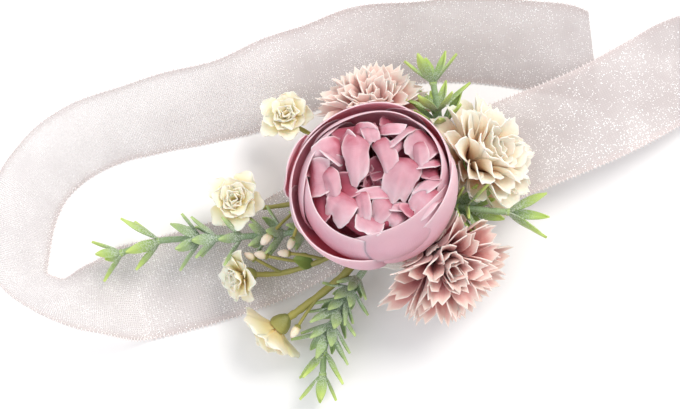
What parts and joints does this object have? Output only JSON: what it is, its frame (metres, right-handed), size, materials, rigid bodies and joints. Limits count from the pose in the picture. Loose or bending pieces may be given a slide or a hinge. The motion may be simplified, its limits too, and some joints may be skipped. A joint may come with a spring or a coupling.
{
  "type": "pin-on corsage",
  "caption": "Artificial flower corsage: a peony head with chrysanthemums, blossom sprays and leaf sprigs on a felt round, with a trailing organza ribbon and a locking bar pin on the back.",
  "frame": {"origin": "centre of the backing felt's rear face", "axes": "+Z out of the felt towards the flowers, +X along the length of the ribbon towards its right tail, +Y towards the top of the arrangement"},
  "size_m": [0.2052, 0.1003, 0.0371],
  "materials": {
    "felt": "matt felt",
    "organza": "sheer glitter organza",
    "nickel": "nickel plated",
    "needle_steel": "bright drawn wire",
    "green_plastic": "matt moulded",
    "pale_rose_silk": "matt dyed cloth",
    "rose_silk": "matt dyed cloth",
    "deep_rose_silk": "matt dyed cloth",
    "blush_silk": "matt dyed cloth",
    "cream_silk": "matt dyed cloth",
    "dusky_silk": "matt dyed cloth",
    "ivory_silk": "matt dyed cloth",
    "olive_plastic": "matt moulded",
    "frosted_plastic": "flocked",
    "leaf_plastic": "satin moulded"
  },
  "bodies": {
    "corsage": {"backing_felt": "felt", "front_felt": "felt", "ribbon": "organza", "pin_bar": "nickel", "pin_rivet": "nickel", "peony_calyx": "green_plastic", "peony_guard_outer": "pale_rose_silk", "peony_guard_inner": "pale_rose_silk", "peony_ruffle_outer": "rose_silk", "peony_ruffle_middle": "rose_silk", "peony_ruffle_inner": "deep_rose_silk", "peony_bud": "deep_rose_silk", "mum_top_calyx": "green_plastic", "mum_top_petals_outer": "blush_silk", "mum_top_petals_middle": "blush_silk", "mum_top_petals_inner": "blush_silk", "mum_top_tuft": "blush_silk", "mum_right_calyx": "green_plastic", "mum_right_petals_outer": "cream_silk", "mum_right_petals_middle": "cream_silk", "mum_right_petals_inner": "cream_silk", "mum_right_tuft": "cream_silk", "mum_low_calyx": "green_plastic", "mum_low_petals_outer": "dusky_silk", "mum_low_petals_middle": "dusky_silk", "mum_low_petals_inner": "dusky_silk", "mum_low_tuft": "dusky_silk", "spray_top_stem": "olive_plastic", "spray_top_blossom_petals": "ivory_silk", "spray_top_blossom_centre": "ivory_silk", "spray_left_stem": "olive_plastic", "spray_left_blossom_petals": "ivory_silk", "spray_left_blossom_centre": "ivory_silk", "spray_side_stem": "olive_plastic", "spray_side_blossom_petals": "ivory_silk", "spray_side_blossom_centre": "ivory_silk", "spray_low_stem": "olive_plastic", "spray_low_blossom_petals": "ivory_silk", "spray_low_blossom_centre": "ivory_silk", "sprig_left_stem": "frosted_plastic", "sprig_left_leaves_1": "leaf_plastic", "sprig_left_leaves_2": "leaf_plastic", "sprig_left_leaves_3": "leaf_plastic", "sprig_left_leaves_4": "leaf_plastic", "sprig_left_leaves_5": "leaf_plastic", "sprig_low_stem": "frosted_plastic", "sprig_low_leaves_1": "leaf_plastic", "sprig_low_leaves_2": "leaf_plastic", "sprig_low_leaves_3": "leaf_plastic", "sprig_low_leaves_4": "leaf_plastic", "sprig_low_leaves_5": "leaf_plastic", "sprig_top_stem": "frosted_plastic", "sprig_top_leaves_1": "leaf_plastic", "sprig_top_leaves_2": "leaf_plastic", "sprig_right_stem": "frosted_plastic", "sprig_right_leaves_1": "leaf_plastic", "sprig_right_leaves_2": "leaf_plastic"},
    "needle": {"pin_needle": "needle_steel"},
    "rotor": {"pin_safety_rotor": "nickel"}
  },
  "joints": [
    {"name": "needle_hinge", "type": "hinge", "parent": "corsage", "child": "needle", "pos_m": [-0.0138, 0.008, -0.00605], "axis": [0, 1, 0], "range_deg": [0, 70]},
    {"name": "lock_turn", "type": "hinge", "parent": "corsage", "child": "rotor", "pos_m": [0.0137, 0.008, -0.00605], "axis": [-1, 0, 0], "range_deg": [0, 110]}
  ]
}
